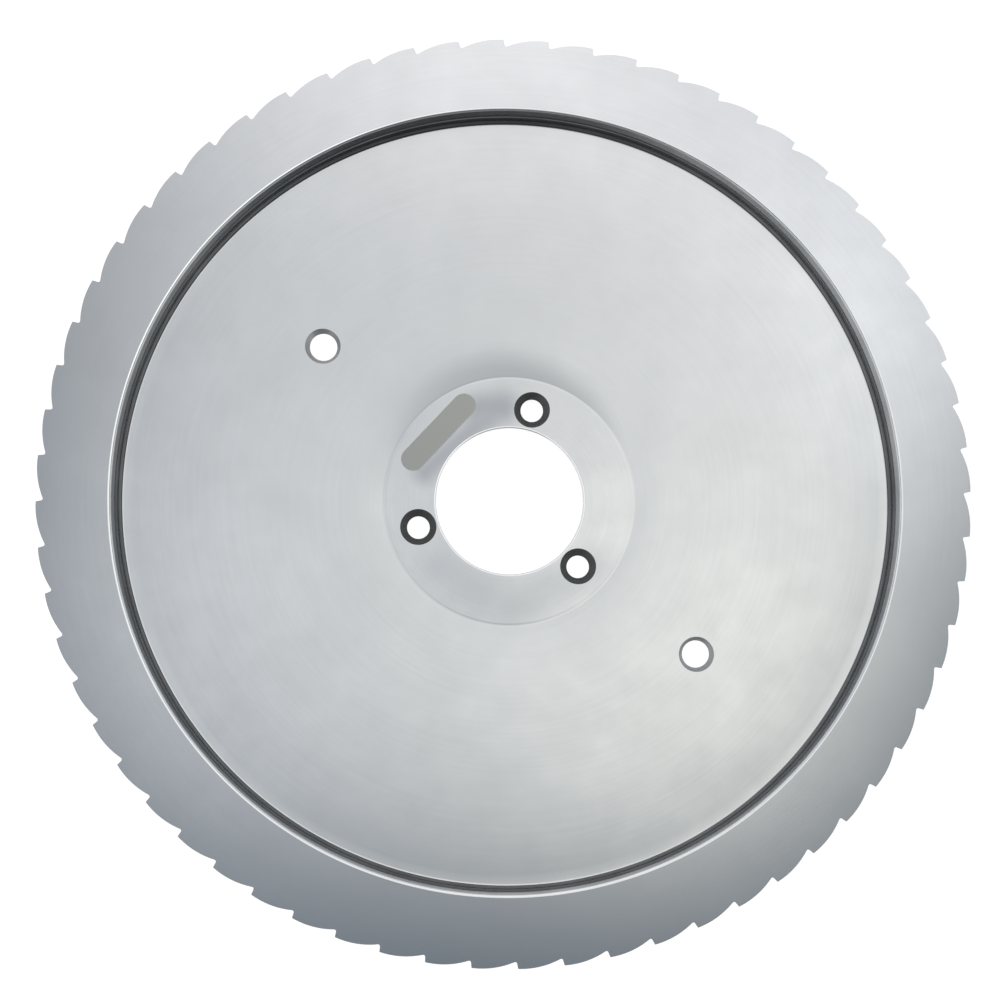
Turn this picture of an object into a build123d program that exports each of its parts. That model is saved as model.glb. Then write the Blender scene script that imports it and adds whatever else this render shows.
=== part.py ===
"""Toothed circular blade of a food slicer, as one solid.

A round steel disc turned from one forging. It lies with its recessed front face up, on the back
face of its hub. The origin is the centre of that back face, and +Z is the blade's axis.

From the middle outwards it has a thick hub with a bore, countersunk screw holes and a flat pad,
a thin dished web with two holes for the puller that lifts the blade off its shaft, and a heavy
rim. The rim's front is a narrow flat ring round a deep recess for the blade cover. Its back is
hollow ground down to a sharpening bevel, and the cutting edge is notched into saw-like teeth,
each with a curved back and a steep leading face.
"""
import os
from math import cos, radians, sin, sqrt, tan

from build123d import *

# Whole blade, in millimetres and degrees
blade_d = 300.0         # over the tooth tips
edge_h = 22.5           # cutting edge above the hub's back face
edge_land = 0.4         # thickness left at the very edge

# Hub and its holes
bore_d = 48.0
bore_chamfer = 0.3
hub_t = 10.0            # back face to front pad
pad_rise = 0.35         # front pad above the dished web beside it
pad_margin = 3.4        # pad left outside the screw countersinks
back_margin = 5.6       # hub left outside the countersinks at the back
back_chamfer = 1.0
screw_count = 3
screw_d = 7.4           # through hole
screw_chamfer = 0.3     # round the holes at the back
sink_d = 11.8           # countersink at the surface
sink_angle = 90.0       # countersink's full angle
bore_land = 1.1         # hub left between the bore and a countersink
screw_from = 76.4       # angle of the first screw hole, from +X

# Web and puller holes
web_t = 3.4
foot_chamfer = 2.0      # cone that joins the web to the hub, at the back
puller_count = 2
puller_d = 8.9
puller_pcd = 157.6
puller_chamfer = 1.3    # at the front
puller_back = 0.5       # chamfer at the back
puller_from = 140.6     # angle of the first puller hole, from +X

# Rim: the front ring, the recess wall and the ground back
ring_w = 22.25          # lip to tooth tips
ring_drop = 0.8         # lip below the cutting edge, so only the edge meets the food
lip_w = 0.95            # narrow face inside the lip
lip_angle = 10.0        # that face against the blade's plane
recess_h = 8.2          # lip down to the outer edge of the dished web
wall_draw = 0.8         # how far the upper wall comes in on its way down
wall_h = 4.0            # height of the upper wall
ledge_w = 0.5           # turned ledge below the upper wall
floor_chamfer = 1.4     # cone that joins the lower wall to the web
bevel_w = 5.0           # sharpening bevel, measured along the radius
bevel_angle = 29.0      # bevel against the blade's plane
hollow_r = 160.0        # radius of the hollow-ground back

# Teeth, as seen from the front: each leads with its steep face, at its clockwise end
tooth_count = 64
tooth_depth = 2.45      # before the gullet is rounded
crown_w = 1.9           # cutting corner to the highest point of the tooth's back
gullet_w = 0.45         # foot of the back to the next cutting corner
gullet_r = 0.6          # rounding at the bottom of a notch
tooth_from = 1.0        # angle of the first cutting corner, from +X

# Clearance by which a cutting body passes the surface it starts from
over = 1.0

# Places worked out from the sizes above
blade_r = blade_d / 2
bore_r = bore_d / 2
screw_pcd = bore_d + 2 * bore_land + sink_d
pad_r = (screw_pcd + sink_d) / 2 + pad_margin
hub_back_r = (screw_pcd + sink_d) / 2 + back_margin
lip_at = blade_r - ring_w
lip_z = edge_h - ring_drop
brim_at = lip_at - lip_w
brim_z = lip_z - lip_w * tan(radians(lip_angle))
floor_z = lip_z - recess_h
wall_at = brim_at - wall_draw
ledge_at = wall_at - ledge_w
ledge_z = lip_z - wall_h
dish_z = hub_t - pad_rise
dish_from = pad_r + pad_rise
bevel_at = blade_r - bevel_w
bevel_z = edge_h - edge_land - bevel_w * tan(radians(bevel_angle))


def polar(radius, angle):
    """Point at a radius and an angle in radians."""
    return (radius * cos(angle), radius * sin(angle))


def dish_height(radius):
    """Height of the web's front, a shallow cone."""
    along = (radius - dish_from) / (ledge_at - dish_from)
    return dish_z + along * (floor_z - dish_z)


def web_back_height(radius):
    """Height of the web's back, a shallow cone."""
    along = (radius - hub_back_r) / (ledge_at - hub_back_r)
    return dish_z - web_t + along * (floor_z - dish_z)


def nearest_corner(shape, place):
    """The vertex of a flat shape that lies nearest to a place."""
    return shape.vertices().sort_by_distance(Vector(*place))[0]


def half_section():
    """Half of the blade's section, in the XZ plane, from the bore to the cutting edge."""
    front = [
        Line((blade_r, edge_h), (lip_at, lip_z)),
        Line((lip_at, lip_z), (brim_at, brim_z)),
        Line((brim_at, brim_z), (wall_at, ledge_z)),
        Line((wall_at, ledge_z), (ledge_at, ledge_z)),
        Line((ledge_at, ledge_z), (ledge_at, floor_z)),
        Line((ledge_at, floor_z), (dish_from, dish_z)),
        Line((dish_from, dish_z), (pad_r, hub_t)),
        Line((pad_r, hub_t), (bore_r + bore_chamfer, hub_t)),
        Line((bore_r + bore_chamfer, hub_t), (bore_r, hub_t - bore_chamfer)),
        Line((bore_r, hub_t - bore_chamfer), (bore_r, bore_chamfer)),
        Line((bore_r, bore_chamfer), (bore_r + bore_chamfer, 0)),
    ]
    back = [
        Line((bore_r + bore_chamfer, 0), (hub_back_r - back_chamfer, 0)),
        Line((hub_back_r - back_chamfer, 0), (hub_back_r, back_chamfer)),
        Line((hub_back_r, back_chamfer), (hub_back_r, dish_z - web_t)),
        Line((hub_back_r, dish_z - web_t), (ledge_at, floor_z - web_t)),
        RadiusArc((ledge_at, floor_z - web_t), (bevel_at, bevel_z), hollow_r),
        Line((bevel_at, bevel_z), (blade_r, edge_h - edge_land)),
        Line((blade_r, edge_h - edge_land), (blade_r, edge_h)),
    ]
    section = make_face(Wire(front + back))
    for place, length in (
        ((ledge_at, floor_z), floor_chamfer),
        ((hub_back_r, dish_z - web_t), foot_chamfer),
    ):
        section = chamfer(nearest_corner(section, place), length)
    return section


def turned_blank():
    """The blade before its holes and teeth are cut."""
    return revolve(Plane.XZ * half_section(), Axis.Z)


def tooth_edges():
    """One tooth's outline: its curved back, the rounded gullet and the next tooth's steep face.

    The back is an arc that touches the tip circle at the crown and falls to the foot, a tooth
    depth lower, so its radius follows from those two points.
    """
    pitch = radians(360 / tooth_count)
    crown = crown_w / blade_r
    foot = pitch - gullet_w / blade_r
    foot_x, foot_y = polar(blade_r - tooth_depth, foot - crown)
    drop = blade_r - foot_x
    back_r = (drop * drop + foot_y * foot_y) / (2 * drop)
    centre_at = blade_r - back_r
    corner_r = centre_at * cos(crown) + sqrt(back_r**2 - (centre_at * sin(crown)) ** 2)
    back = ThreePointArc(
        polar(corner_r, 0),
        polar(blade_r, crown),
        polar(blade_r - tooth_depth, foot),
    )
    face = Line(polar(blade_r - tooth_depth, foot), polar(corner_r, pitch))
    notch = Wire([back, face])
    gullet = nearest_corner(notch, polar(blade_r - tooth_depth, foot))
    return notch.fillet_2d(gullet_r, [gullet]).edges()


def toothed_prism():
    """An upright prism with the blade's toothed outline."""
    tooth = tooth_edges()
    turns = [Rot(0, 0, tooth_from + 360 * i / tooth_count) for i in range(tooth_count)]
    outline = Wire([turn * edge for turn in turns for edge in tooth])
    return Pos(0, 0, -over) * extrude(make_face(outline), edge_h + 2 * over)


def hole_cutter(hole_r, front_z, front_mouth_r, back_z, back_mouth_r, half_angle):
    """Cutting body of a hole along Z that opens into a cone at both faces.

    Each cone has its mouth radius at its own face and carries on past it.
    """
    slope = tan(radians(half_angle))
    outline = Polyline(
        (0, back_z - over),
        (back_mouth_r + over * slope, back_z - over),
        (hole_r, back_z + (back_mouth_r - hole_r) / slope),
        (hole_r, front_z - (front_mouth_r - hole_r) / slope),
        (front_mouth_r + over * slope, front_z + over),
        (0, front_z + over),
        close=True,
    )
    return revolve(Plane.XZ * make_face(outline), Axis.Z)


def screw_holes():
    """The hub's countersunk screw holes."""
    back_mouth_r = screw_d / 2 + screw_chamfer
    hole = hole_cutter(screw_d / 2, hub_t, sink_d / 2, 0, back_mouth_r, sink_angle / 2)
    return PolarLocations(screw_pcd / 2, screw_count, screw_from) * hole


def puller_holes():
    """The web's holes for the puller, chamfered at both faces."""
    radius = puller_pcd / 2
    hole_r = puller_d / 2
    front_z = dish_height(radius)
    back_z = web_back_height(radius)
    hole = hole_cutter(hole_r, front_z, hole_r + puller_chamfer, back_z, hole_r + puller_back, 45)
    return PolarLocations(radius, puller_count, puller_from) * hole


def blade():
    """The finished blade."""
    blank = turned_blank() & toothed_prism()
    return blank - screw_holes() - puller_holes()


os.makedirs("parts", exist_ok=True)
export_step(blade(), "parts/blade.step")
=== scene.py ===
"""Looks of the toothed circular blade of a food slicer.

The blade lies on its hub, recessed front up, and is seen from above. Its solid is one turned steel
disc, which is drawn here once more as one smooth skin: a half section turned round the axis, with
a toothed rim, the screw holes and puller holes let into it, and a finish of its own for each way
the steel was cut. Some finishes also carry painted shade and, on the lip, a painted highlight.
Lengths are millimetres until the skin becomes a mesh, in metres.
"""

import bmesh
import bpy
import numpy as np
from mathutils import Matrix


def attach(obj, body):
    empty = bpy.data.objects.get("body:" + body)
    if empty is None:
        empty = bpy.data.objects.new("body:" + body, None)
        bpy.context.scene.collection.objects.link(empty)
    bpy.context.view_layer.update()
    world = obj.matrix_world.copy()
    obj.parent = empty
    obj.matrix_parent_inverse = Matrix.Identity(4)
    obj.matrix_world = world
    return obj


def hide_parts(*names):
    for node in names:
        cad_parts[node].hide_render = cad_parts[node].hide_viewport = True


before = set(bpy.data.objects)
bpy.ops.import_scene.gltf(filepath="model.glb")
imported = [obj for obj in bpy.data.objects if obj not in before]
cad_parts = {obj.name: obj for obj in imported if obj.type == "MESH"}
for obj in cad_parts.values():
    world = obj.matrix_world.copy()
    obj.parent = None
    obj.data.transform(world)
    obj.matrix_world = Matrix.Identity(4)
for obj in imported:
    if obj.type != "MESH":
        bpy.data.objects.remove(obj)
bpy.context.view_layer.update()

MM = 0.001              # one millimetre, in metres

# Sizes of the solid, in millimetres and degrees
BLADE_R = 150.0
EDGE_H, EDGE_LAND = 22.5, 0.4
BORE_R, BORE_CHAMFER = 24.0, 0.3
HUB_T = 10.0
PAD_R = 40.3
HUB_BACK_R, BACK_CHAMFER = 42.5, 1.0
LIP_AT, LIP_Z = 127.75, 21.7
BRIM_AT, BRIM_Z = 126.8, 21.532
WALL_AT, LEDGE_AT, LEDGE_Z = 126.0, 125.5, 17.7
DISH_FROM, DISH_Z = 40.65, 9.65
FLOOR_Z = 13.5
WEB_T = 3.4
BEVEL_AT = 145.0
BEVEL_SLOPE = np.tan(np.radians(29.0))
BEVEL_Z = EDGE_H - EDGE_LAND - (BLADE_R - BEVEL_AT) * BEVEL_SLOPE
HOLLOW_R = 160.0
SCREWS, SCREW_AT, SCREW_FROM = 3, 31.0, 76.4
SCREW_R, SCREW_CHAMFER, SINK_R = 3.7, 0.3, 5.9
PULLERS, PULLER_AT, PULLER_FROM = 2, 78.8, 140.6
PULLER_R, PULLER_CHAMFER, PULLER_BACK = 4.45, 1.3, 0.5
TEETH, TOOTH_DEPTH, TOOTH_FROM = 64, 2.45, 1.0
CROWN_W, GULLET_W, GULLET_R = 1.9, 0.45, 0.6

# Roundings of the section's corners, as the tool's nose leaves them
LIP_ROUND, BRIM_ROUND = 1.2, 0.8
WALL_ROUND, LEDGE_ROUND, FLOOR_ROUND = 0.2, 0.14, 1.5
BORE_ROUND, BACK_ROUND, FOOT_ROUND = 0.12, 0.35, 2.0

# The web's front beside the hub: a swell and a dip in it, each with its reach along the radius
SWELL, SWELL_REACH = 0.6, 25.0
DIP, DIP_REACH = 0.3, 8.0

# Columns round the axis: one set along the teeth, and half as many everywhere else
PER_TOOTH = 18
FINE = TEETH * PER_TOOTH
COARSE = FINE // 2
BAND_AT = 144.4         # where the toothed band begins at the front
SKIN_AT = 143.4         # where the coarser columns end at the front
BAND_BACK_AT = 145.6    # where the toothed band begins at the back
FILLET_END = 121.0      # where the web's plain rows begin, past the recess's fillet

# Rows of the hub and of the web, from the outside inwards, in which the holes are opened, and half
# of an opening's width in columns
SCREW_ROWS = np.linspace(39.3, 24.68, 13)
PULLER_ROWS = np.linspace(87.9, 69.7, 12)
SCREW_COLUMNS, PULLER_COLUMNS = 26, 13

FINISHES = ["ring", "lip", "wall", "groove", "web", "pad", "bore", "hub_back", "web_back",
            "hollow", "bevel", "tooth", "countersink", "puller"]
SHARP = 32.0            # edges sharper than this many degrees stay crisp


# Camera: where the photograph was taken from
def place_camera():
    """A 70 mm lens above the blade's near side, shifted a little to fill the frame with the blade.

    The frame's own right and up are given, and the lens looks against the third axis.
    """
    data = bpy.data.cameras.new("camera")
    data.sensor_fit = "HORIZONTAL"
    data.sensor_width = 36.0
    data.lens = 70.14
    data.shift_x = -0.0826
    data.shift_y = 0.0786
    data.clip_end = 100.0
    camera = bpy.data.objects.new("camera", data)
    right = np.array([0.99762, -0.0009, 0.0689])
    up = np.array([-0.00414, 0.99733, 0.07294])
    turn = np.eye(4)
    turn[:3, 0], turn[:3, 1], turn[:3, 2] = right, up, np.cross(right, up)
    turn[:3, 3] = (-0.0192, -0.07315, 0.64738)
    camera.matrix_world = Matrix(turn.tolist())
    bpy.context.scene.collection.objects.link(camera)
    bpy.context.scene.camera = camera


# Heights of the blade's faces at a radius
def ring_height(radius):
    """Front ring: a shallow cone that falls inwards from the cutting edge to the lip."""
    return EDGE_H - (BLADE_R - radius) * (EDGE_H - LIP_Z) / (BLADE_R - LIP_AT)


def web_front_height(radius):
    """Front of the web: a shallow cone, a little steeper next to the hub, as turning leaves it.

    A swell stands on the cone, and a dip is taken from the swell. Each is greatest at the hub and
    falls to 1 / e of that over its reach. Together they also soften the step to the pad.
    """
    out = radius - DISH_FROM
    along = out / (LEDGE_AT - DISH_FROM)
    swell = SWELL * np.exp(-out / SWELL_REACH) - DIP * np.exp(-out / DIP_REACH)
    return DISH_Z + along * (FLOOR_Z - DISH_Z) + swell


def web_back_height(radius):
    """Back of the web: a cone of the same rise, one web thickness below the front."""
    along = (radius - HUB_BACK_R) / (LEDGE_AT - HUB_BACK_R)
    return DISH_Z - WEB_T + along * (FLOOR_Z - DISH_Z)


def bevel_height(radius):
    """Sharpening bevel at the back: a cone that rises to the edge at the bevel's angle."""
    return EDGE_H - EDGE_LAND - (BLADE_R - radius) * BEVEL_SLOPE


def pad_height(radius):
    """Front of the hub: flat."""
    return HUB_T + 0 * radius


def seat_height(radius):
    """Back of the hub: flat, and on the floor."""
    return 0 * radius


# Section lines, as rows of (radius, height)
def rounded(corners, steps):
    """Section through corners (radius, height, rounding), with an arc that touches both legs.

    With h half the angle between the legs, the arc starts rounding / tan h from the corner, and
    its centre is rounding / sin h along the line that halves the angle. Points between the arc's
    ends come from turning one end's spoke into the other's by equal angles.
    """
    corners = np.asarray(corners, float)
    spot, rounding = corners[1:-1, :2], corners[1:-1, 2:]
    back, ahead = corners[:-2, :2] - spot, corners[2:, :2] - spot
    back /= np.linalg.norm(back, axis=1, keepdims=True)
    ahead /= np.linalg.norm(ahead, axis=1, keepdims=True)
    half = np.arccos(np.clip((back * ahead).sum(1, keepdims=True), -1, 1)) / 2
    middle = back + ahead
    middle /= np.linalg.norm(middle, axis=1, keepdims=True)
    centre = spot + middle * rounding / np.sin(half)
    first = spot + back * rounding / np.tan(half) - centre
    last = spot + ahead * rounding / np.tan(half) - centre
    turn = (np.pi - 2 * half)[:, None]
    share = np.linspace(0, 1, steps)[None, :, None]
    arcs = np.sin((1 - share) * turn) * first[:, None] + np.sin(share * turn) * last[:, None]
    arcs = (centre[:, None] + arcs / np.sin(turn)).reshape(-1, 2)
    rows = np.concatenate([corners[:1, :2], arcs, corners[-1:, :2]])
    return rows[moved(rows)]


def moved(rows):
    """Marks every row that isn't in the same place as the one before it."""
    return np.concatenate([[True], np.linalg.norm(np.diff(rows, axis=0), axis=1) > 1e-6])


def on_face(radii, height):
    """Rows at these radii on a face whose height is a function of the radius."""
    radii = np.asarray(radii, float)
    return np.column_stack([radii, height(radii)])


def hollow(steps=11):
    """Hollow-ground back: an arc of the grinding wheel's radius from the web to the bevel.

    Its centre lies off the middle of the chord, on the side away from the steel, by the leg of a
    right triangle whose other leg is half the chord.
    """
    start = np.array([LEDGE_AT, FLOOR_Z - WEB_T])
    chord = np.array([BEVEL_AT, BEVEL_Z]) - start
    half = np.linalg.norm(chord) / 2
    away = np.array([chord[1], -chord[0]]) / (2 * half)
    centre = start + chord / 2 + away * np.sqrt(HOLLOW_R**2 - half**2)
    spoke = np.arcsin(half / HOLLOW_R) * np.linspace(-1, 1, steps)[:, None]
    return centre + HOLLOW_R * (np.sin(spoke) * chord / (2 * half) - np.cos(spoke) * away)


def section():
    """The section from the front ring through the bore to the bevel, and each step's finish.

    A step has the finish of the row it ends at. The lip's finish, with its painted highlight,
    begins in the middle of the lip's rounding and runs down over the brim. The groove's, dark with
    painted shade, covers the ledge, the lower wall and the fillet.
    """
    rim = rounded([
        (SKIN_AT, ring_height(SKIN_AT), 0),
        (LIP_AT, LIP_Z, LIP_ROUND),
        (BRIM_AT, BRIM_Z, BRIM_ROUND),
        (WALL_AT, LEDGE_Z, WALL_ROUND),
        (LEDGE_AT, LEDGE_Z, LEDGE_ROUND),
        (LEDGE_AT, FLOOR_Z, FLOOR_ROUND),
        (FILLET_END, web_front_height(FILLET_END), 0),
    ], 6)
    out, up = rim.T
    lip_end, wall_end = BRIM_Z - 0.15, LEDGE_Z + 0.12
    legs = [
        ("ring", rim[out > LIP_AT]),
        ("lip", rim[(out <= LIP_AT) & (up > lip_end)]),
        ("wall", rim[(up <= lip_end) & (up > wall_end)]),
        ("groove", rim[up <= wall_end][:-2]),
        ("web", rim[-2:]),
        ("web", on_face([112.0, 100.0, 91.5], web_front_height)),
        ("web", on_face(PULLER_ROWS, web_front_height)),
        ("web", on_face([63.0, 56.0, 51.0, 47.5, 45.0, 43.0, 41.6, 40.9], web_front_height)),
        ("pad", on_face([PAD_R + 0.1, PAD_R - 0.3], pad_height)),
        ("pad", on_face(SCREW_ROWS, pad_height)),
        ("bore", rounded([
            (SCREW_ROWS[-1] - 0.05, HUB_T, 0),
            (BORE_R + BORE_CHAMFER, HUB_T, BORE_ROUND),
            (BORE_R, HUB_T - BORE_CHAMFER, BORE_ROUND),
            (BORE_R, BORE_CHAMFER, BORE_ROUND),
            (BORE_R + BORE_CHAMFER, 0, BORE_ROUND),
            (SCREW_ROWS[-1], 0, 0),
        ], 3)),
        ("hub_back", on_face(SCREW_ROWS[::-1], seat_height)),
        ("hub_back", rounded([
            (40.6, 0, 0),
            (HUB_BACK_R - BACK_CHAMFER, 0, BACK_ROUND),
            (HUB_BACK_R, BACK_CHAMFER, BACK_ROUND),
            (HUB_BACK_R, web_back_height(HUB_BACK_R), FOOT_ROUND),
            (48.0, web_back_height(48.0), 0),
        ], 5)),
        ("web_back", on_face([57.0, 65.0], web_back_height)),
        ("web_back", on_face(PULLER_ROWS[::-1], web_back_height)),
        ("web_back", on_face([98.0, 111.0, 123.5], web_back_height)),
        ("hollow", hollow()),
    ]
    rows = np.concatenate([leg for _, leg in legs])
    finish = np.concatenate([np.full(len(leg), FINISHES.index(name)) for name, leg in legs])
    kept = moved(rows)
    return rows[kept], finish[kept][1:]


def teeth():
    """Outline of all the teeth, as (radius, angle) of one column each, anticlockwise.

    A tooth's back is an arc that touches the tip circle at the crown and falls by the tooth's
    depth at the foot. Its radius follows from that drop and the width it drops over. The notch
    between it and the steep face holds a circle that touches both: its centre is the rounding
    outside the arc and the rounding off the straight face.
    """
    pitch = 2 * np.pi / TEETH
    crown = CROWN_W / BLADE_R
    foot = pitch - GULLET_W / BLADE_R
    root = BLADE_R - TOOTH_DEPTH
    drop = BLADE_R - root * np.cos(foot - crown)
    width = root * np.sin(foot - crown)
    back_r = (drop**2 + width**2) / (2 * drop)
    axis = BLADE_R - back_r
    corner_r = axis * np.cos(crown) + np.sqrt(back_r**2 - (axis * np.sin(crown)) ** 2)
    centre = axis * np.array([np.cos(crown), np.sin(crown)])
    low = root * np.array([np.cos(foot), np.sin(foot)])
    high = corner_r * np.array([np.cos(pitch), np.sin(pitch)])
    along = (high - low) / np.linalg.norm(high - low)
    off = np.array([along[1], -along[0]])
    start = low + off * GULLET_R - centre
    lean = start @ along
    reach = -lean + np.sqrt(lean**2 - start @ start + (back_r + GULLET_R) ** 2)
    notch = centre + start + along * reach
    touch = centre + (notch - centre) * back_r / (back_r + GULLET_R)
    face_end = notch - off * GULLET_R

    back = swing(centre, back_r, np.array([corner_r, 0.0]), touch, 12)
    gullet = swing(notch, GULLET_R, touch, face_end, 6)[1:]
    face = np.linspace(face_end, high, 3)[1:-1]
    points = np.concatenate([back, gullet, face])
    radius = np.hypot(points[:, 0], points[:, 1])
    angle = np.arctan2(points[:, 1], points[:, 0])
    turns = np.arange(TEETH)[:, None] * pitch + np.radians(TOOTH_FROM)
    return np.tile(radius, TEETH), (turns + angle[None]).ravel()


def swing(middle, radius, start, end, count):
    """Points at equal angles on the shorter arc round a middle, from one point to another."""
    first, last = np.arctan2(*(start - middle)[::-1]), np.arctan2(*(end - middle)[::-1])
    last = first + (last - first + np.pi) % (2 * np.pi) - np.pi
    angle = np.linspace(first, last, count)
    return middle + radius * np.column_stack([np.cos(angle), np.sin(angle)])


# The skin, as grids of points with quads between their rows and columns
def turned(radius, angle, height):
    """Points at these radii, angles round the axis and heights."""
    radius, angle, height = np.broadcast_arrays(radius, angle, height)
    return np.stack([radius * np.cos(angle), radius * np.sin(angle), height], -1)


class Skin:
    """Collects points, faces and the finish of each face."""

    def __init__(self):
        self.points, self.faces, self.finish, self.count = [], [], [], 0

    def add(self, points, faces, finish):
        """Adds points, and faces that count them from nought."""
        self.points.append(points.reshape(-1, 3))
        self.faces.append(faces + self.count)
        self.finish.append(np.broadcast_to(finish, len(faces)))
        self.count += points.size // 3

    def add_rows(self, points, finish, keep=None):
        """Rows run with the section and columns anticlockwise, the last joined to the first."""
        rows, columns = points.shape[:2]
        index = np.arange(rows * columns).reshape(rows, columns)
        index = np.column_stack([index, index[:, 0]])
        quads = np.stack([index[:-1, :-1], index[:-1, 1:], index[1:, 1:], index[1:, :-1]], -1)
        marks = np.broadcast_to(np.asarray(finish).reshape(-1, 1), (rows - 1, columns))
        keep = np.ones((rows - 1, columns), bool) if keep is None else keep
        self.add(points, quads[keep], marks[keep])

    def add_bridge(self, fine, coarse, flip, finish):
        """Joins a row to one of half as many columns, by three triangles to each coarse step."""
        first = np.arange(0, len(fine), 2)
        f0, f1, f2 = first, first + 1, (first + 2) % len(fine)
        c0 = len(fine) + first // 2
        c1 = len(fine) + (first // 2 + 1) % len(coarse)
        triangles = (f0, f1, c0), (f1, c1, c0), (f1, f2, c1)
        faces = np.concatenate([np.stack(corners, -1) for corners in triangles])
        self.add(np.concatenate([fine, coarse]), faces[:, ::-1] if flip else faces, finish)


def add_rim(skin, even):
    """The toothed band: front ring, the teeth's sides and the bevel.

    A row's share says how far it is from the band's inner circle to the outline. Radius and angle
    both go by that share, and the height is that of the cone the row lies on.
    """
    out_r, out_angle = teeth()
    coarse = even[::2]
    ring, bevel, tooth = (FINISHES.index(name) for name in ("ring", "bevel", "tooth"))
    share = np.array([0, 0.4, 0.75, 1.0])[:, None]
    angle = even * (1 - share) + out_angle * share
    radius = BAND_BACK_AT * (1 - share) + out_r * share
    skin.add_rows(turned(radius, angle, bevel_height(radius)), bevel)
    rise = np.linspace(0, 1, 3)[:, None]
    height = bevel_height(out_r) * (1 - rise) + ring_height(out_r) * rise
    skin.add_rows(turned(out_r, out_angle, height), tooth)
    radius = BAND_AT * (1 - share) + out_r * share
    skin.add_rows(turned(radius, angle, ring_height(radius))[::-1], ring)
    skin.add_bridge(turned(BAND_AT, even, ring_height(BAND_AT)),
                    turned(SKIN_AT, coarse, ring_height(SKIN_AT)), False, ring)
    skin.add_bridge(turned(BAND_BACK_AT, even, bevel_height(BAND_BACK_AT)),
                    turned(BEVEL_AT, coarse, BEVEL_Z), True, bevel)


def add_holes(skin, even, rows, at, angles, half_width, front, back, wall, names):
    """Holes through two sheets that share rows and columns. Gives the columns each hole opens.

    Round a hole, the sheets' quads give way to rings that grow from the hole's mouth to the border
    of the opening. A point keeps its direction from the hole's centre, and goes from mouth to
    border by a share of the way. A sheet is given as its height, the mouth's radius and how the
    mouth follows the sheet's slope: 1 at the front, -1 at the back and 0 where the sheet is flat.
    Where a sheet slopes by s, a 45 degree chamfer's mouth is radius / (1 - s cos a) wide, at an
    angle a from the line to the axis.
    """
    gap = np.arange(-half_width, half_width)
    ease = np.array([1.0, 0.62, 0.34, 0.14, 0.04, 0.0])[:, None, None]
    front_finish, mouth_finish, back_finish = (FINISHES.index(name) for name in names)
    opened = []
    for spot in np.radians(angles):
        column = int(round((spot - even[0]) / (even[1] - even[0]))) % len(even)
        centre = at * np.array([np.cos(spot), np.sin(spot)])
        border = np.concatenate([
            turned(rows[0], even[(column + gap) % len(even)], 0),
            turned(rows[:-1], even[(column + half_width) % len(even)], 0),
            turned(rows[-1], even[(column - gap) % len(even)], 0),
            turned(rows[:0:-1], even[(column - half_width) % len(even)], 0),
        ])[:, :2] - centre
        way = np.arctan2(border[:, 1], border[:, 0])
        spokes = np.column_stack([np.cos(way), np.sin(way)])
        sheets = []
        for height, mouth_r, follow in (front, back):
            slope = (height(at + 1) - height(at - 1)) / 2
            mouth = spokes * (mouth_r / (1 - follow * slope * np.cos(way - spot)))[:, None]
            flat = border * ease + mouth * (1 - ease) + centre
            up = height(np.hypot(flat[..., 0], flat[..., 1]))
            sheets.append(np.concatenate([flat, up[..., None]], -1))
        shaft = np.concatenate([
            centre + wall[:, :1, None] * spokes,
            np.broadcast_to(wall[:, 1:, None], (len(wall), len(way), 1)),
        ], -1)
        skin.add_rows(sheets[0], front_finish)
        skin.add_rows(np.concatenate([sheets[0][-1:], shaft[:1]]), mouth_finish)
        skin.add_rows(np.concatenate([shaft, sheets[1][-1:]]), FINISHES.index("bore"))
        skin.add_rows(sheets[1][::-1], back_finish)
        opened.append(column + gap)
    return opened


def blade_skin():
    """The whole blade as one closed mesh."""
    skin = Skin()
    even = np.radians(TOOTH_FROM) + np.arange(FINE) * 2 * np.pi / FINE
    coarse = even[::2]
    add_rim(skin, even)
    sink_deep = SINK_R - SCREW_R        # a right-angled countersink is as deep as it is wide
    screws = add_holes(
        skin, coarse, SCREW_ROWS, SCREW_AT, SCREW_FROM + np.arange(SCREWS) * 360 / SCREWS,
        SCREW_COLUMNS, (pad_height, SINK_R, 0), (seat_height, SCREW_R + SCREW_CHAMFER, 0),
        np.array([(SCREW_R, HUB_T - sink_deep), (SCREW_R, SCREW_CHAMFER)]),
        ("pad", "countersink", "hub_back"))
    front_z, back_z = web_front_height(PULLER_AT), web_back_height(PULLER_AT)
    pullers = add_holes(
        skin, coarse, PULLER_ROWS, PULLER_AT, PULLER_FROM + np.arange(PULLERS) * 360 / PULLERS,
        PULLER_COLUMNS, (web_front_height, PULLER_R + PULLER_CHAMFER, 1),
        (web_back_height, PULLER_R + PULLER_BACK, -1),
        np.array([(PULLER_R, front_z - PULLER_CHAMFER), (PULLER_R, back_z + PULLER_BACK)]),
        ("web", "puller", "web_back"))
    rows, finish = section()
    keep = np.ones((len(rows) - 1, COARSE), bool)
    for block, opened in ((SCREW_ROWS, screws), (PULLER_ROWS, pullers)):
        inside = (rows[:, 0] < block[0] + 1e-6) & (rows[:, 0] > block[-1] - 1e-6)
        keep[np.ix_(inside[:-1] & inside[1:], np.concatenate(opened) % COARSE)] = False
    skin.add_rows(turned(rows[:, :1], coarse, rows[:, 1:]), finish, keep)
    return skin


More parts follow.
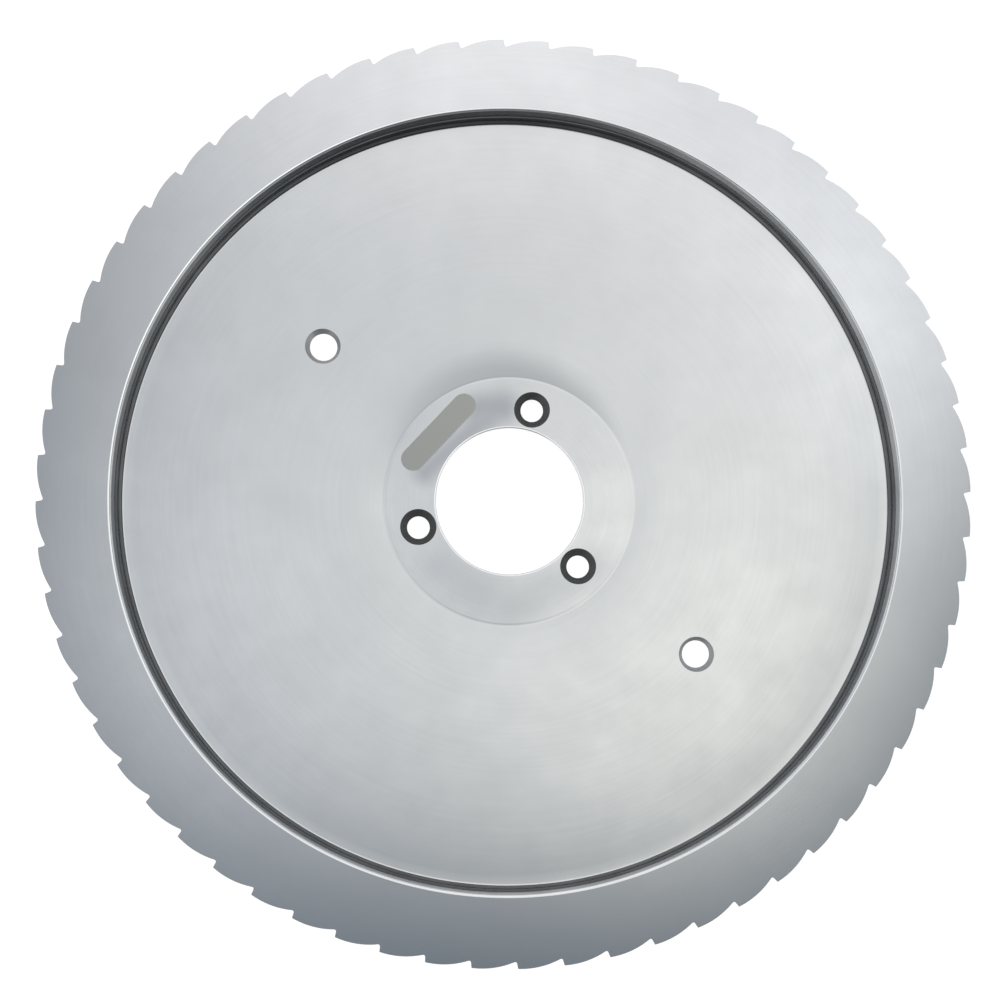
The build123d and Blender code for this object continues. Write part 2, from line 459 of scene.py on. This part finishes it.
def to_mesh(name, skin, materials):
    """Mesh in metres, its doubled seam points merged, smooth but for its sharp edges."""
    mesh = bpy.data.meshes.new(name)
    faces = [face for group in skin.faces for face in group.tolist()]
    mesh.from_pydata(np.concatenate(skin.points) * MM, [], faces)
    for material in materials:
        mesh.materials.append(material)
    mesh.polygons.foreach_set("material_index", np.concatenate(skin.finish).astype(np.int32))
    work = bmesh.new()
    work.from_mesh(mesh)
    bmesh.ops.remove_doubles(work, verts=work.verts, dist=0.002 * MM)
    work.to_mesh(mesh)
    work.free()
    mesh.shade_smooth()
    mesh.set_sharp_from_angle(angle=np.radians(SHARP))
    piece = bpy.data.objects.new(name, mesh)
    bpy.context.scene.collection.objects.link(piece)
    even_out = piece.modifiers.new("even_shading", "WEIGHTED_NORMAL")
    even_out.keep_sharp = True
    return piece


# Nodes and colours
def linear(code):
    """Linear colour of an sRGB hex value."""
    part = np.array([int(code[i:i + 2], 16) for i in (1, 3, 5)]) / 255
    part = np.where(part <= 0.04045, part / 12.92, ((part + 0.055) / 1.055) ** 2.4)
    return (*part.tolist(), 1.0)


def add_node(tree, kind, inputs=None, **settings):
    """Adds a node with its settings. An input that is a socket is linked, any other is written."""
    node = tree.nodes.new(kind)
    for key, value in settings.items():
        setattr(node, key, value)
    for key, value in (inputs or {}).items():
        if isinstance(value, bpy.types.NodeSocket):
            tree.links.new(value, node.inputs[key])
        else:
            node.inputs[key].default_value = value
    return node


# Pattern of a finish, in millimetres where it is a length
MARK_RUN = 40.0         # a tool mark's length
MARK_SHARE = 0.25       # of the marks in the pattern; the clouds have the rest
CLOUD_W = 16.0          # a cloud's width
FAINT, STRONG = 0.3, 0.7    # the noise nearly always stays between these
ACROSS_AT = 148.0       # radius at which marks across the edge have their own width


def steel(name, light, dark, roughness, rough_spread, mark_w, mark_depth, across=False):
    """Bare steel with soft clouds and the fine marks of its cutting.

    The marks go round the axis, or across the edge. They are noise that changes within a mark's
    width across them and within its length along them. The clouds are noise of their own width.
    Both shift colour and roughness a little, and the marks alone give the bump.
    """
    material = bpy.data.materials.new(name)
    material.use_nodes = True
    tree = material.node_tree
    shader = tree.nodes["Principled BSDF"]
    place = add_node(tree, "ShaderNodeTexCoord").outputs["Object"]
    x, y, z = add_node(tree, "ShaderNodeSeparateXYZ", {0: place}).outputs
    flat = add_node(tree, "ShaderNodeCombineXYZ", {0: x, 1: y}).outputs[0]
    quick, slow = 1000 / mark_w, 1000 / MARK_RUN        # marks to the metre
    if across:
        spoke = add_node(tree, "ShaderNodeVectorMath", {0: flat}, operation="NORMALIZE").outputs[0]
        grain = add_node(tree, "ShaderNodeVectorMath", {0: spoke, "Scale": ACROSS_AT * MM * quick},
                         operation="SCALE").outputs[0]
        marks = add_node(tree, "ShaderNodeTexNoise",
                         {"Vector": grain, "Scale": 1.0, "Detail": 1.0}).outputs[0]
    else:
        radius = add_node(tree, "ShaderNodeVectorMath", {0: flat}, operation="LENGTH")
        out, up, side, depth = (
            add_node(tree, "ShaderNodeMath", {0: way, 1: pace}, operation="MULTIPLY").outputs[0]
            for way, pace in ((radius.outputs["Value"], quick), (z, quick), (x, slow), (y, slow)))
        grain = add_node(tree, "ShaderNodeCombineXYZ", {0: out, 1: up, 2: side}).outputs[0]
        marks = add_node(tree, "ShaderNodeTexNoise",
                         {"Vector": grain, "W": depth, "Scale": 1.0, "Detail": 1.0},
                         noise_dimensions="4D").outputs[0]
    clouds = add_node(tree, "ShaderNodeTexNoise", {
        "Vector": place, "Scale": 1000 / CLOUD_W, "Detail": 3.0, "Roughness": 0.55}).outputs[0]
    clouds = add_node(tree, "ShaderNodeMath", {0: clouds, 1: 1 - MARK_SHARE},
                      operation="MULTIPLY").outputs[0]
    pattern = add_node(tree, "ShaderNodeMath", {0: marks, 1: MARK_SHARE, 2: clouds},
                       operation="MULTIPLY_ADD").outputs[0]
    tone = add_node(tree, "ShaderNodeMapRange", {0: pattern, 1: FAINT, 2: STRONG}).outputs[0]
    colour = add_node(tree, "ShaderNodeMix", {0: tone, 6: linear(dark), 7: linear(light)},
                      data_type="RGBA").outputs[2]
    rough = add_node(tree, "ShaderNodeMapRange", {
        0: pattern, 1: FAINT, 2: STRONG, 3: roughness + rough_spread,
        4: roughness - rough_spread}).outputs[0]
    bump = add_node(tree, "ShaderNodeBump", {
        "Height": marks, "Strength": 1.0, "Distance": mark_depth * MM}).outputs[0]
    shader.inputs["Metallic"].default_value = 1.0
    tree.links.new(colour, shader.inputs["Base Color"])
    tree.links.new(rough, shader.inputs["Roughness"])
    tree.links.new(bump, shader.inputs["Normal"])
    return material


def tint(material, x, y, turn, half, radius, soft, colour, roughness=None):
    """Gives a patch of a finish its own colour, and its own roughness where one is named.

    The patch is every place within a radius of a line of a half length through (x, y), turned by
    an angle. The distance to that line is the length of (what |x| has over the half length, y), in
    the patch's own axes, and the edge fades over twice the softness.
    """
    tree = material.node_tree
    shader = tree.nodes["Principled BSDF"]
    place = add_node(tree, "ShaderNodeTexCoord").outputs["Object"]
    own = add_node(tree, "ShaderNodeMapping", {
        "Vector": place, "Location": (x * MM, y * MM, HUB_T * MM),
        "Rotation": (0, 0, np.radians(turn)), "Scale": (MM, MM, MM)},
        vector_type="TEXTURE").outputs[0]
    along, aside, _ = add_node(tree, "ShaderNodeSeparateXYZ", {0: own}).outputs
    along = add_node(tree, "ShaderNodeMath", {0: along}, operation="ABSOLUTE").outputs[0]
    along = add_node(tree, "ShaderNodeMath", {0: along, 1: half}, operation="SUBTRACT").outputs[0]
    along = add_node(tree, "ShaderNodeMath", {0: along, 1: 0.0}, operation="MAXIMUM").outputs[0]
    both = add_node(tree, "ShaderNodeCombineXYZ", {0: along, 1: aside}).outputs[0]
    reach = add_node(tree, "ShaderNodeVectorMath", {0: both}, operation="LENGTH").outputs["Value"]
    mask = add_node(tree, "ShaderNodeMapRange", {
        0: reach, 1: radius - soft, 2: radius + soft, 3: 1.0, 4: 0.0},
        interpolation_type="SMOOTHSTEP").outputs[0]
    before = shader.inputs["Base Color"].links[0].from_socket
    mixed = add_node(tree, "ShaderNodeMix", {0: mask, 6: before, 7: linear(colour)},
                     data_type="RGBA").outputs[2]
    tree.links.new(mixed, shader.inputs["Base Color"])
    if roughness is not None:
        before = shader.inputs["Roughness"].links[0].from_socket
        mixed = add_node(tree, "ShaderNodeMix", {0: mask, 2: before, 3: roughness},
                         data_type="FLOAT").outputs[0]
        tree.links.new(mixed, shader.inputs["Roughness"])


def finishes():
    """One material for each finish, in the order of FINISHES. All are bare, hardened blade steel.

    The tool marks of the real blade lie 0.05 to 0.2 mm apart, too fine to show, so they are drawn
    0.4 to 0.9 mm apart. A finish is given as its lighter and darker colour, its roughness and how
    far that varies, the width of a mark and its depth, both in millimetres.
    """
    # Turned and satin polished: a soft, wide sheen without visible lines. Two soft darker patches
    # beside the hub are painted shade: they darken the web in a crescent next to the pad.
    web = steel("satin_turned_web", "#E2E2E2", "#DCDCDC", 0.18, 0.015, 0.8, 0.0002)
    tint(web, -12.6, 18.0, 0.0, 0.0, 27.0, 13.0, "#CBCCCE")
    tint(web, -0.9, 13.0, 0.0, 0.0, 34.0, 6.5, "#BABBBD")
    # Lapped flat: an even pale face, darker in four soft patches. The last patch is blasted, which
    # makes it a sharp-edged matt bar.
    pad = steel("lapped_hub_pad", "#E3E3E3", "#DADADA", 0.18, 0.02, 0.6, 0.0002)
    tint(pad, -6.0, 30.5, 8.0, 3.5, 5.0, 4.5, "#B9BABD")
    tint(pad, -18.0, 18.0, 42.0, 13.0, 3.5, 3.5, "#BEBFC2")
    tint(pad, 14.0, -28.0, 27.0, 14.0, 6.5, 6.0, "#CDCED0")
    tint(pad, -15.0, -26.0, -30.0, 8.0, 6.5, 6.0, "#CFD0D2")
    tint(pad, -23.3, 22.5, 47.2, 12.2, 3.87, 0.12, "#C2C1BC", 0.4)
    return [
        # Surface ground: a clean, cool sheen that goes from light to dark across the ring
        steel("surface_ground_ring", "#E1E1E2", "#DBDBDC", 0.17, 0.01, 0.7, 0.0002),
        # Burnished by the tool's nose: one thin bright line all round the recess; its extra
        # lightness is a painted highlight
        steel("burnished_lip_and_highlight", "#F8F8F8", "#F2F2F2", 0.12, 0.01, 0.7, 0.0002),
        # Turned: a mid grey band below the lip; its darker grey is painted shade of the recess
        steel("turned_recess_wall_and_shade", "#C8CACC", "#B8BABC", 0.24, 0.04, 0.5, 0.001),
        # Turned: its dark, dull colour is painted shade, so the recess reads as a deep black line
        steel("turned_groove_painted_shade", "#727476", "#606264", 0.26, 0.04, 0.5, 0.001),
        web,
        pad,
        # Bored smooth: it mirrors the floor, so the holes look clean and open
        steel("bored_steel", "#FCFCFC", "#F8F8F8", 0.1, 0.02, 0.5, 0.0002),
        # Turned and left as cut: a plain grey, duller than the front
        steel("turned_hub_back", "#DCDDDE", "#CFD0D2", 0.28, 0.03, 0.8, 0.0008),
        # Turned and brushed round the axis: a broad dull sheen
        steel("satin_turned_back", "#DCDDDE", "#CFD0D2", 0.3, 0.03, 0.9, 0.0008),
        # Hollow ground: smoother than the web's back, so light gathers in a band
        steel("hollow_ground_back", "#DEDFE1", "#D2D4D6", 0.24, 0.03, 0.7, 0.001),
        # Honed across the edge: the brightest face of the back
        steel("honed_bevel", "#E6E7E9", "#DADCDE", 0.18, 0.02, 0.4, 0.0008, across=True),
        # Milled across the edge: small faces that catch the light one by one
        steel("milled_tooth_side", "#D6D7D9", "#C2C4C6", 0.3, 0.03, 0.4, 0.002, across=True),
        # Countersunk: a dull, nearly black ring round a screw hole; its dark colour is painted
        # shade
        steel("countersink_painted_shade", "#6E7070", "#626464", 0.6, 0.05, 0.5, 0.001),
        # Chamfered after hardening: a thin grey ring round each puller hole; its darker grey is
        # painted shade
        steel("chamfered_puller_hole_and_shade", "#A8AAAC", "#9A9C9E", 0.35, 0.04, 0.5, 0.001),
    ]


# The stage: floor, panel of light and room, in metres
FLOOR_HALF, FLOOR_DOWN = 20.0, -0.0002      # a little below the hub, so that no faces coincide
PANEL_HALF, PANEL_UP = 0.95, 1.3


def plate(name, half, height):
    """A level square of a half width, centred on the blade's axis."""
    mesh = bpy.data.meshes.new(name)
    corners = [(-half, -half, height), (half, -half, height),
               (half, half, height), (-half, half, height)]
    mesh.from_pydata(corners, [], [(0, 1, 2, 3)])
    piece = bpy.data.objects.new(name, mesh)
    bpy.context.scene.collection.objects.link(piece)
    return piece


def surface(piece, name):
    """Node tree of a new material on a piece of the stage, with only its output left in it."""
    material = bpy.data.materials.new(name)
    material.use_nodes = True
    tree = material.node_tree
    tree.nodes.remove(tree.nodes["Principled BSDF"])
    piece.data.materials.append(material)
    return tree


def lay_floor():
    """Plain white floor. Directly or in steel it is seen near white, with a faint soft shadow.

    Its glow gives nearly all of that white. The rest is dim paint, which holds the shadow.
    """
    tree = surface(plate("floor", FLOOR_HALF, FLOOR_DOWN), "white_floor")
    path = add_node(tree, "ShaderNodeLightPath").outputs
    seen = add_node(tree, "ShaderNodeMath",
                    {0: path["Is Camera Ray"], 1: path["Is Glossy Ray"]},
                    operation="MAXIMUM").outputs[0]
    seen = add_node(tree, "ShaderNodeMath", {0: seen, 1: path["Is Transmission Ray"]},
                    operation="MAXIMUM").outputs[0]
    lit = add_node(tree, "ShaderNodeBsdfDiffuse", {"Color": linear("#EDEDED")}).outputs[0]
    dim = add_node(tree, "ShaderNodeBsdfDiffuse", {"Color": linear("#7C7C7C")}).outputs[0]
    glow = add_node(tree, "ShaderNodeEmission",
                    {"Color": linear("#FFFFFF"), "Strength": 0.945}).outputs[0]
    white = add_node(tree, "ShaderNodeAddShader", {0: dim, 1: glow}).outputs[0]
    mixed = add_node(tree, "ShaderNodeMixShader", {0: seen, 1: lit, 2: white}).outputs[0]
    tree.links.new(mixed, tree.nodes["Material Output"].inputs["Surface"])


def hang_panel():
    """A wide diffusing panel above the blade, lit from behind by five lamps.

    A lamp gives its colour * e to the power of minus the square of (distance / width). The panel's
    own grey is bluish, as is the lamp at the near side, and it fades towards that side.
    """
    # Place (x, y), width and colour of each lamp
    lamps = [
        (0.015, 0.567, 0.352, (1.13, 1.10, 1.08)),
        (0.341, 0.294, 0.166, (0.83, 0.825, 0.815)),
        (-0.153, 0.053, 0.187, (0.64, 0.64, 0.645)),
        (0.170, 0.036, 0.159, (1.02, 0.99, 0.91)),
        (0.0, -0.66, 0.22, (0.30, 0.32, 0.34)),
    ]
    own_grey = (0.085, 0.124, 0.160)
    panel = plate("light_panel", PANEL_HALF, PANEL_UP)
    panel.visible_camera = False
    tree = surface(panel, "lit_diffuser")
    place = add_node(tree, "ShaderNodeTexCoord").outputs["Object"]
    axes = add_node(tree, "ShaderNodeSeparateXYZ", {0: place}).outputs
    fade = add_node(tree, "ShaderNodeMapRange",
                    {0: axes[1], 1: -0.9, 2: -0.31, 3: 0.35, 4: 1.0}).outputs[0]
    level = add_node(tree, "ShaderNodeVectorMath", {0: fade, 1: own_grey},
                     operation="MULTIPLY").outputs[0]
    for x, y, width, colour in lamps:
        reach = add_node(tree, "ShaderNodeVectorMath", {0: place, 1: (x, y, PANEL_UP)},
                         operation="DISTANCE").outputs["Value"]
        share = add_node(tree, "ShaderNodeMath", {0: reach, 1: width},
                         operation="DIVIDE").outputs[0]
        fall = add_node(tree, "ShaderNodeMath", {0: share, 1: share},
                        operation="MULTIPLY").outputs[0]
        fall = add_node(tree, "ShaderNodeMath", {0: np.exp(-1.0), 1: fall},
                        operation="POWER").outputs[0]
        level = add_node(tree, "ShaderNodeVectorMath", {0: fall, 1: colour, 2: level},
                         operation="MULTIPLY_ADD").outputs[0]
    glow = add_node(tree, "ShaderNodeEmission", {"Color": level, "Strength": 1.0}).outputs[0]
    tree.links.new(glow, tree.nodes["Material Output"].inputs["Surface"])


def light_room():
    """Room round the panel: pale up to 25 degrees over the floor, and dimmer from 40 degrees up.

    Low down it is dimmest at the near side, and higher up also at the right. The dim part is what
    the recess's far wall mirrors, so that wall reads as a dark line. A view past the floor's end
    meets plain white.
    """
    world = bpy.data.worlds.new("studio")
    world.use_nodes = True
    bpy.context.scene.world = world
    tree = world.node_tree
    ground = tree.nodes["Background"]
    way = add_node(tree, "ShaderNodeTexCoord").outputs["Generated"]
    axes = add_node(tree, "ShaderNodeSeparateXYZ", {0: way}).outputs
    # Upper part: how far a direction is from the near side, times how far it is to the left
    lean = add_node(tree, "ShaderNodeVectorMath", {0: way, 1: (-0.2, 0.98, 0.0)},
                    operation="DOT_PRODUCT").outputs["Value"]
    open_side = add_node(tree, "ShaderNodeMapRange", {0: lean, 1: -0.7, 2: -0.5, 3: 0.05, 4: 1.0},
                         interpolation_type="SMOOTHSTEP").outputs[0]
    left = add_node(tree, "ShaderNodeMapRange",
                    {0: axes[0], 1: 0.2, 2: -0.45, 3: 0.5, 4: 0.9}).outputs[0]
    high = add_node(tree, "ShaderNodeMath", {0: open_side, 1: left},
                    operation="MULTIPLY").outputs[0]
    # Lower part: the same for the near side alone
    lean = add_node(tree, "ShaderNodeVectorMath", {0: way, 1: (-0.1, 1.0, 0.0)},
                    operation="DOT_PRODUCT").outputs["Value"]
    low = add_node(tree, "ShaderNodeMapRange", {0: lean, 1: -0.95, 2: -0.6, 3: 0.36, 4: 0.95},
                   interpolation_type="SMOOTHSTEP").outputs[0]
    rise = add_node(tree, "ShaderNodeMapRange", {0: axes[2], 1: 0.42, 2: 0.64},
                    interpolation_type="SMOOTHSTEP").outputs[0]
    level = add_node(tree, "ShaderNodeMix", {0: rise, 2: low, 3: high},
                     data_type="FLOAT").outputs[0]
    path = add_node(tree, "ShaderNodeLightPath").outputs
    level = add_node(tree, "ShaderNodeMath", {0: level, 1: path["Is Camera Ray"]},
                     operation="MAXIMUM").outputs[0]
    tree.links.new(level, ground.inputs["Strength"])
    ground.inputs["Color"].default_value = linear("#FFFFFF")


bpy.context.scene.view_settings.view_transform = "Standard"
place_camera()
blade = to_mesh("toothed_blade", blade_skin(), finishes())
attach(blade, "root")
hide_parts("blade")
lay_floor()
hang_panel()
light_room()
